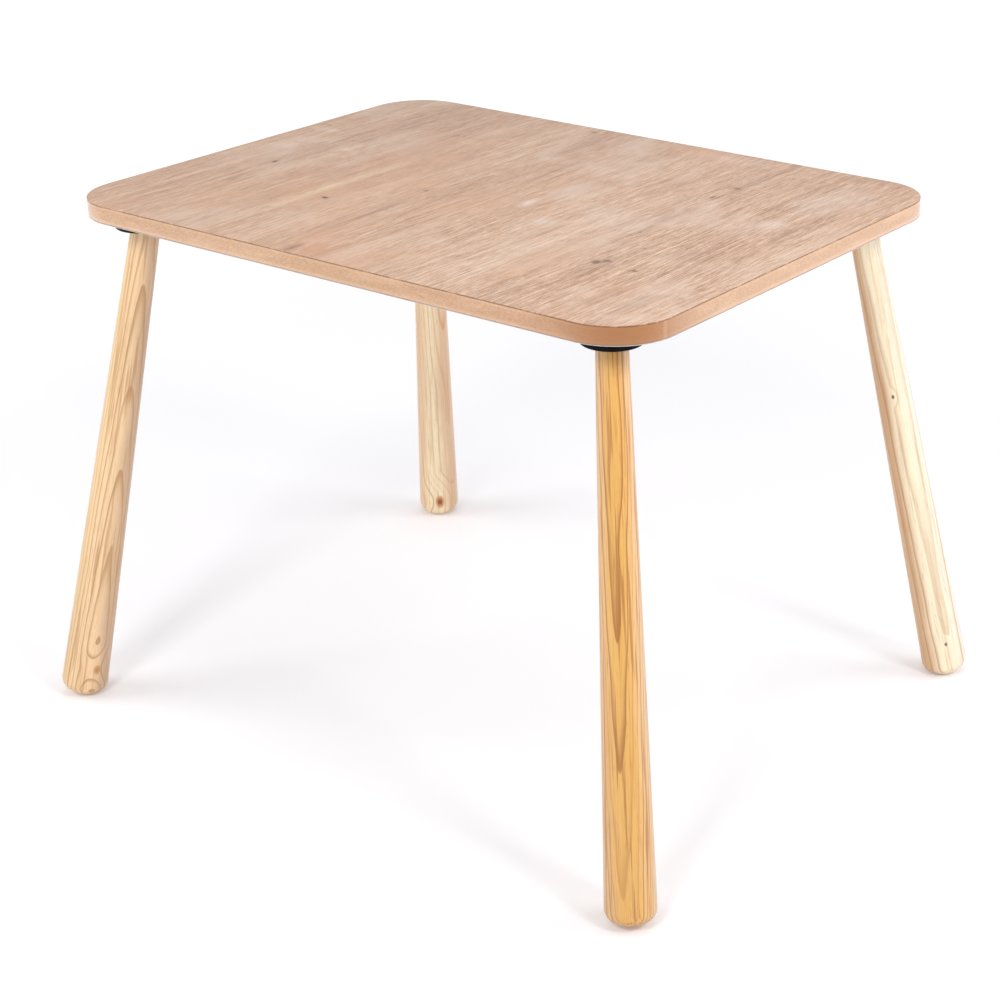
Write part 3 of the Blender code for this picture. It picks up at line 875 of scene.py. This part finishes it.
def threaded(before, thread, after, pitch, segments, profile):
    """A closed turned body with a helical thread between two plain stretches.

    before and after are (radius, height) points from the lower pole and to the upper pole. thread is a
    function that gives (root, crest) at a height between them, and profile the share of the thread's depth
    at each of its steps over one pitch. Each column of vertices is shifted along the helix.
    """
    steps = len(profile)
    low, high = before[-1][1], after[0][1]
    row_height = pitch / steps
    rows = int((high - low) / row_height) - 1
    bm = bmesh.new()

    def vert_at(i, radius, height):
        angle = math.tau * i / segments
        return bm.verts.new((radius * math.cos(angle), radius * math.sin(angle), height))

    def plain_ring(radius, height):
        return [vert_at(i, radius, height) for i in range(segments)]

    def strip(lower, upper):
        for i in range(segments):
            j = (i + 1) % segments
            bm.faces.new((lower[i], lower[j], upper[j], upper[i]))

    bottom = [plain_ring(radius, height) for radius, height in before[1:]]
    top = [plain_ring(radius, height) for radius, height in after[:-1]]
    for rings in (bottom, top):
        for lower, upper in zip(rings, rings[1:]):
            strip(lower, upper)
    columns = []
    for i in range(segments):
        turn = steps * i / segments
        column = []
        for row in range(rows):
            height = low + (row + 0.5 + turn % 1.0) * row_height
            root, crest = thread(height)
            radius = root + (crest - root) * profile[(row - int(turn)) % steps]
            column.append(vert_at(i, radius, height))
        columns.append(column)
    for i in range(segments):
        j = (i + 1) % segments
        left, right = columns[i], columns[j]
        over = int(steps * (i + 1) / segments) - int(steps * i / segments)
        for row in range(rows - 1 - over):
            bm.faces.new((left[row], right[row + over], right[row + 1 + over], left[row + 1]))
        bm.faces.new([bottom[-1][i], bottom[-1][j]] + right[: over + 1] + [left[0]])
        bm.faces.new(left[rows - 1 - over:] + [top[0][i], top[0][j], right[-1]])
    for rings, pole, order in ((bottom[0], before[0], 1), (top[-1], after[-1], -1)):
        tip = bm.verts.new((0, 0, pole[1]))
        for i in range(segments):
            corner_verts = (tip, rings[(i + 1) % segments], rings[i])
            bm.faces.new(corner_verts[::order])
    return bm


def screw_mesh():
    """A pan-head wood screw with a cross recess. Its head's bearing face is at height 0."""
    radius, height = SCREW_HEAD_RADIUS, SCREW_HEAD_HEIGHT
    head = [(0, -height), (radius * 0.42, -height * 0.985), (radius * 0.66, -height * 0.90)]
    head += [(radius * 0.84, -height * 0.70), (radius * 0.96, -height * 0.42), (radius, -height * 0.15)]
    head += [(radius * 0.985, 0), (SCREW_ROOT_RADIUS + 0.0002, 0), (SCREW_ROOT_RADIUS, 0.0008)]
    point_start = SCREW_LENGTH - SCREW_POINT
    tip = [(0.0003, SCREW_LENGTH - 0.0003), (0, SCREW_LENGTH)]

    def thread(at):
        share = min(1.0, max(0.12, (SCREW_LENGTH - at) / SCREW_POINT)) if at > point_start else 1.0
        rise = min(1.0, max(0.0, (at - 0.0008) / SCREW_PITCH))
        root = SCREW_ROOT_RADIUS * share
        return root, root + (SCREW_RADIUS - SCREW_ROOT_RADIUS) * share * rise

    bm = threaded(head, thread, tip, SCREW_PITCH, 24, (0, 0, 0.25, 1, 0.25, 0))
    return cut_mesh(finished(bm, "screw"), [recess_arm(0), recess_arm(90)], "screw")


def recess_arm(turn_deg):
    """One arm of the cross recess: a narrow wedge that tapers down into the head."""
    bm = bmesh.new()
    place = Matrix.Rotation(math.radians(turn_deg), 4, "Z")
    place = place @ Matrix.Translation((0, 0, -SCREW_HEAD_HEIGHT + 0.0006))
    place = place @ Matrix.Diagonal((1.0, 0.27, 1.0, 1.0)) @ Matrix.Rotation(math.pi / 4, 4, "Z")
    bmesh.ops.create_cone(
        bm, segments=4, radius1=0.0031, radius2=0.0009, depth=0.0018, cap_ends=True, matrix=place
    )
    return bm


def bolt_mesh():
    """A hanger bolt: a machine thread above the leg's top, a plain collar, and a wood thread in the leg."""
    start = [(0, -BOLT_IN_LEG), (0.0004, -BOLT_IN_LEG + 0.0003)]
    collar_low = [(WOOD_THREAD_ROOT, WOOD_THREAD_TOP), (BOLT_RADIUS * 0.97, WOOD_THREAD_TOP + 0.0015)]
    collar_low += [(BOLT_RADIUS * 0.97, -0.0015), (0, -0.0015)]

    def wood_thread(at):
        share = min(1.0, max(0.14, (at + BOLT_IN_LEG) / BOLT_POINT))
        fade = min(1.0, max(0.0, (WOOD_THREAD_TOP - at) / 0.002))
        root = WOOD_THREAD_ROOT * share
        return root, root + (BOLT_RADIUS - WOOD_THREAD_ROOT) * share * fade

    wood_profile = (0, 0, 0, 0.12, 0.55, 1, 0.4, 0.05)
    lower = threaded(start, wood_thread, collar_low, WOOD_THREAD_PITCH, 32, wood_profile)
    ease = BOLT_RADIUS / 5
    collar_high = [(0, -0.0015), (BOLT_RADIUS * 0.97, -0.0015), (BOLT_RADIUS * 0.97, 0.0005)]
    collar_high += [(BOLT_THREAD_ROOT, 0.0009)]
    end = [(BOLT_RADIUS - ease, BOLT_ABOVE_LEG - 0.0001), (BOLT_RADIUS - ease * 1.3, BOLT_ABOVE_LEG)]
    end += [(0, BOLT_ABOVE_LEG)]

    def machine_thread(at):
        fade = min(1.0, max(0.0, (BOLT_ABOVE_LEG - at) / 0.0012))
        return BOLT_THREAD_ROOT, BOLT_THREAD_ROOT + (BOLT_RADIUS - BOLT_THREAD_ROOT) * fade

    machine_profile = (0, 0.25, 0.75, 1, 1, 0.75, 0.25, 0)
    upper = threaded(collar_high, machine_thread, end, BOLT_PITCH, 32, machine_profile)
    whole = joined([lower, upper])
    caps = [
        face for face in whole.faces
        if all(abs(vert.co.z + 0.0015) < 1e-7 for vert in face.verts)
    ]
    bmesh.ops.delete(whole, geom=caps, context="FACES")
    bmesh.ops.remove_doubles(whole, verts=whole.verts, dist=1e-7)
    loose = [vert for vert in whole.verts if not vert.link_faces]
    bmesh.ops.delete(whole, geom=loose, context="VERTS")
    return finished(whole, "bolt", 40)


def nut_mesh():
    """A flanged nut: its barrel stands in the hub and its rim rests on the hub's end."""
    bore = BOLT_RADIUS + GAP
    rim_bottom = HUB_TOP + GAP
    rim_top = rim_bottom + NUT_RIM_THICKNESS
    low = SOCKET_ROOF + GAP
    profile = [(bore + 0.0003, low), (NUT_BARREL_RADIUS - 0.0003, low), (NUT_BARREL_RADIUS, low + 0.0003)]
    profile += [(NUT_BARREL_RADIUS, rim_bottom), (NUT_RIM_RADIUS - 0.0002, rim_bottom)]
    profile += [(NUT_RIM_RADIUS, rim_bottom + 0.0002), (NUT_RIM_RADIUS, rim_top - 0.0004)]
    profile += [(NUT_RIM_RADIUS - 0.0004, rim_top), (bore + 0.0003, rim_top)]
    height = rim_top - 0.0002
    while height > low + 0.0006:
        profile += [(bore, height), (bore + 0.0004, height - BOLT_PITCH / 2)]
        height -= BOLT_PITCH
    profile += [(bore, low + 0.0003)]
    return finished(turned(profile, 48, closed=True), "nut")


# ---------------------------------------------------------------- legs


def leg_mesh():
    """A straight-tapered leg with eased head, a hole for its bolt, and a well rounded foot."""
    hole, hole_bottom = BOLT_RADIUS + GAP, -BOLT_IN_LEG - GAP
    profile = [(0, hole_bottom - 0.0008), (hole * 0.6, hole_bottom), (hole, hole_bottom + 0.001)]
    profile += [(hole, -GAP - 0.0005), (hole + 0.0005, -GAP)]
    profile += arc(LEG_TOP_RADIUS - LEG_TOP_EASE, -GAP - LEG_TOP_EASE, LEG_TOP_EASE, 90, 0, 6)
    foot_centre = -LEG_LENGTH + FOOT_ROUND
    length = -GAP - LEG_TOP_EASE - foot_centre
    rings = 24
    for step in range(1, rings):
        share = step / rings
        radius = LEG_TOP_RADIUS + (LEG_FOOT_RADIUS - LEG_TOP_RADIUS) * share
        profile.append((radius, -GAP - LEG_TOP_EASE - length * share))
    profile += arc(FOOT_FLAT_RADIUS, foot_centre, FOOT_ROUND, 0, -90, 22)
    profile += [(FOOT_FLAT_RADIUS * 0.5, -LEG_LENGTH), (0, -LEG_LENGTH)]
    return finished(turned(profile, 96), "leg")


def placed(mesh, place):
    """A copy of mesh with its vertices moved by place."""
    copy = mesh.copy()
    copy.transform(place)
    return copy


def build_corners(plastic, zinc):
    block, screw, nut, bolt, leg = block_mesh(), screw_mesh(), nut_mesh(), bolt_mesh(), leg_mesh()
    for corner in CORNERS:
        at_block, at_leg = block_frame(corner), leg_frame(corner)
        name = f"{corner}_mounting_block"
        add_piece(f"{name}_shell", placed(block, at_block), "table", [name], "block_plastic", plastic)
        for number, (x, y) in enumerate(screw_places(), start=1):
            name = f"{corner}_block_screw_{number}"
            spin = Matrix.Rotation(math.radians(37 * number + 19 * len(corner)), 4, "Z")
            seat = at_block @ Matrix.Translation((x, y, -SCREW_SEAT - GAP)) @ spin
            add_piece(f"{name}_threaded", placed(screw, seat), "table", [name], "zinc_steel", zinc)
        name = f"{corner}_leg_nut"
        add_piece(f"{name}_tapped", placed(nut, at_leg), "table", [name], "zinc_steel", zinc)
        name = f"{corner}_hanger_bolt"
        add_piece(f"{name}_threaded", placed(bolt, at_leg), f"{corner}_bolt", [name], "zinc_steel", zinc)
        name = f"{corner}_leg"
        wood = leg_wood(corner, LEG_LOOKS[corner])
        add_piece(f"{name}_turned", placed(leg, at_leg), f"{corner}_leg", [name], "leg_wood", wood)


# ---------------------------------------------------------------- floor, light, camera


def build_floor():
    """A wide level floor just under the feet, which glows a little so that it stays pale."""
    bm = bmesh.new()
    reach, below_feet = 30.0, -0.0001
    square = ((-reach, -reach), (reach, -reach), (reach, reach), (-reach, reach))
    bm.faces.new([bm.verts.new((x, y, below_feet)) for x, y in square])
    mesh = finished(bm, "studio_floor")
    g = Graph("studio_floor_paint")
    mottle = g.noise(g.object_point(), scale=3.0, detail=2.0)
    colour = g.mix(mottle, (0.86, 0.86, 0.88), (0.88, 0.88, 0.90))
    away = g.vector("LENGTH", g.object_point())
    g.put(g.shader.inputs["Emission Color"], (0.975, 0.950, 1.0, 1.0))
    g.put(g.shader.inputs["Emission Strength"], g.span(away, 0.7, 3.6, 0.15, 0.80))
    mesh.materials.append(g.finish(colour, 0.9, Specular_IOR_Level=0.1))
    floor = bpy.data.objects.new("studio_floor", mesh)
    bpy.context.collection.objects.link(floor)


def add_soft_light(name, place, size, power, colour=(1, 1, 1)):
    light = bpy.data.lights.new(name, "AREA")
    light.shape = "RECTANGLE"
    light.size, light.size_y = size
    light.energy = power
    light.color = colour
    obj = bpy.data.objects.new(name, light)
    bpy.context.collection.objects.link(obj)
    obj.location = place
    aim = Vector((0, 0, 0.35)) - Vector(place)
    obj.rotation_euler = aim.to_track_quat("-Z", "Y").to_euler()


def build_light():
    world = bpy.data.worlds.new("studio_world")
    bpy.context.scene.world = world
    world.use_nodes = True
    background = world.node_tree.nodes["Background"]
    background.inputs["Color"].default_value = (1.0, 1.0, 1.0, 1.0)
    background.inputs["Strength"].default_value = 0.38
    add_soft_light("left_softbox", (-1.75, -1.30, 1.25), (1.3, 1.7), 18)
    add_soft_light("right_softbox", (1.75, 1.20, 1.25), (1.3, 1.7), 19)
    add_soft_light("left_lamp", (0.5, -2.1, 2.1), (0.6, 0.6), 20)
    add_soft_light("right_lamp", (2.2, -0.3, 2.1), (0.6, 0.6), 20)
    add_soft_light("overhead_softbox", (-0.2, 0.5, 3.2), (2.6, 2.6), 29)


def build_camera():
    azimuth, elevation, roll = (math.radians(v) for v in (36.017, 25.590, -0.155))
    target, distance = Vector((0.3957, -0.3116, 0.385)), 1.7261
    level = math.cos(elevation)
    back = Vector((math.sin(azimuth) * level, -math.cos(azimuth) * level, math.sin(elevation)))
    across = Vector((0, 0, 1)).cross(back).normalized()
    up = back.cross(across)
    right = math.cos(roll) * across + math.sin(roll) * up
    above = -math.sin(roll) * across + math.cos(roll) * up
    data = bpy.data.cameras.new("camera")
    data.sensor_width = 36.0
    data.lens = 75.83
    data.shift_x = -0.1417
    data.shift_y = 0.0541
    data.clip_end = 200.0
    camera = bpy.data.objects.new("camera", data)
    bpy.context.collection.objects.link(camera)
    matrix = Matrix((right, above, back)).transposed().to_4x4()
    matrix.translation = target + back * distance
    camera.matrix_world = matrix
    bpy.context.scene.camera = camera


build_camera()
build_top(oak_decor(), lacquered_mdf(), laminate_edge(), white_backing())
build_corners(black_plastic(), zinc_steel())
build_floor()
build_light()

bpy.context.view_layer.update()
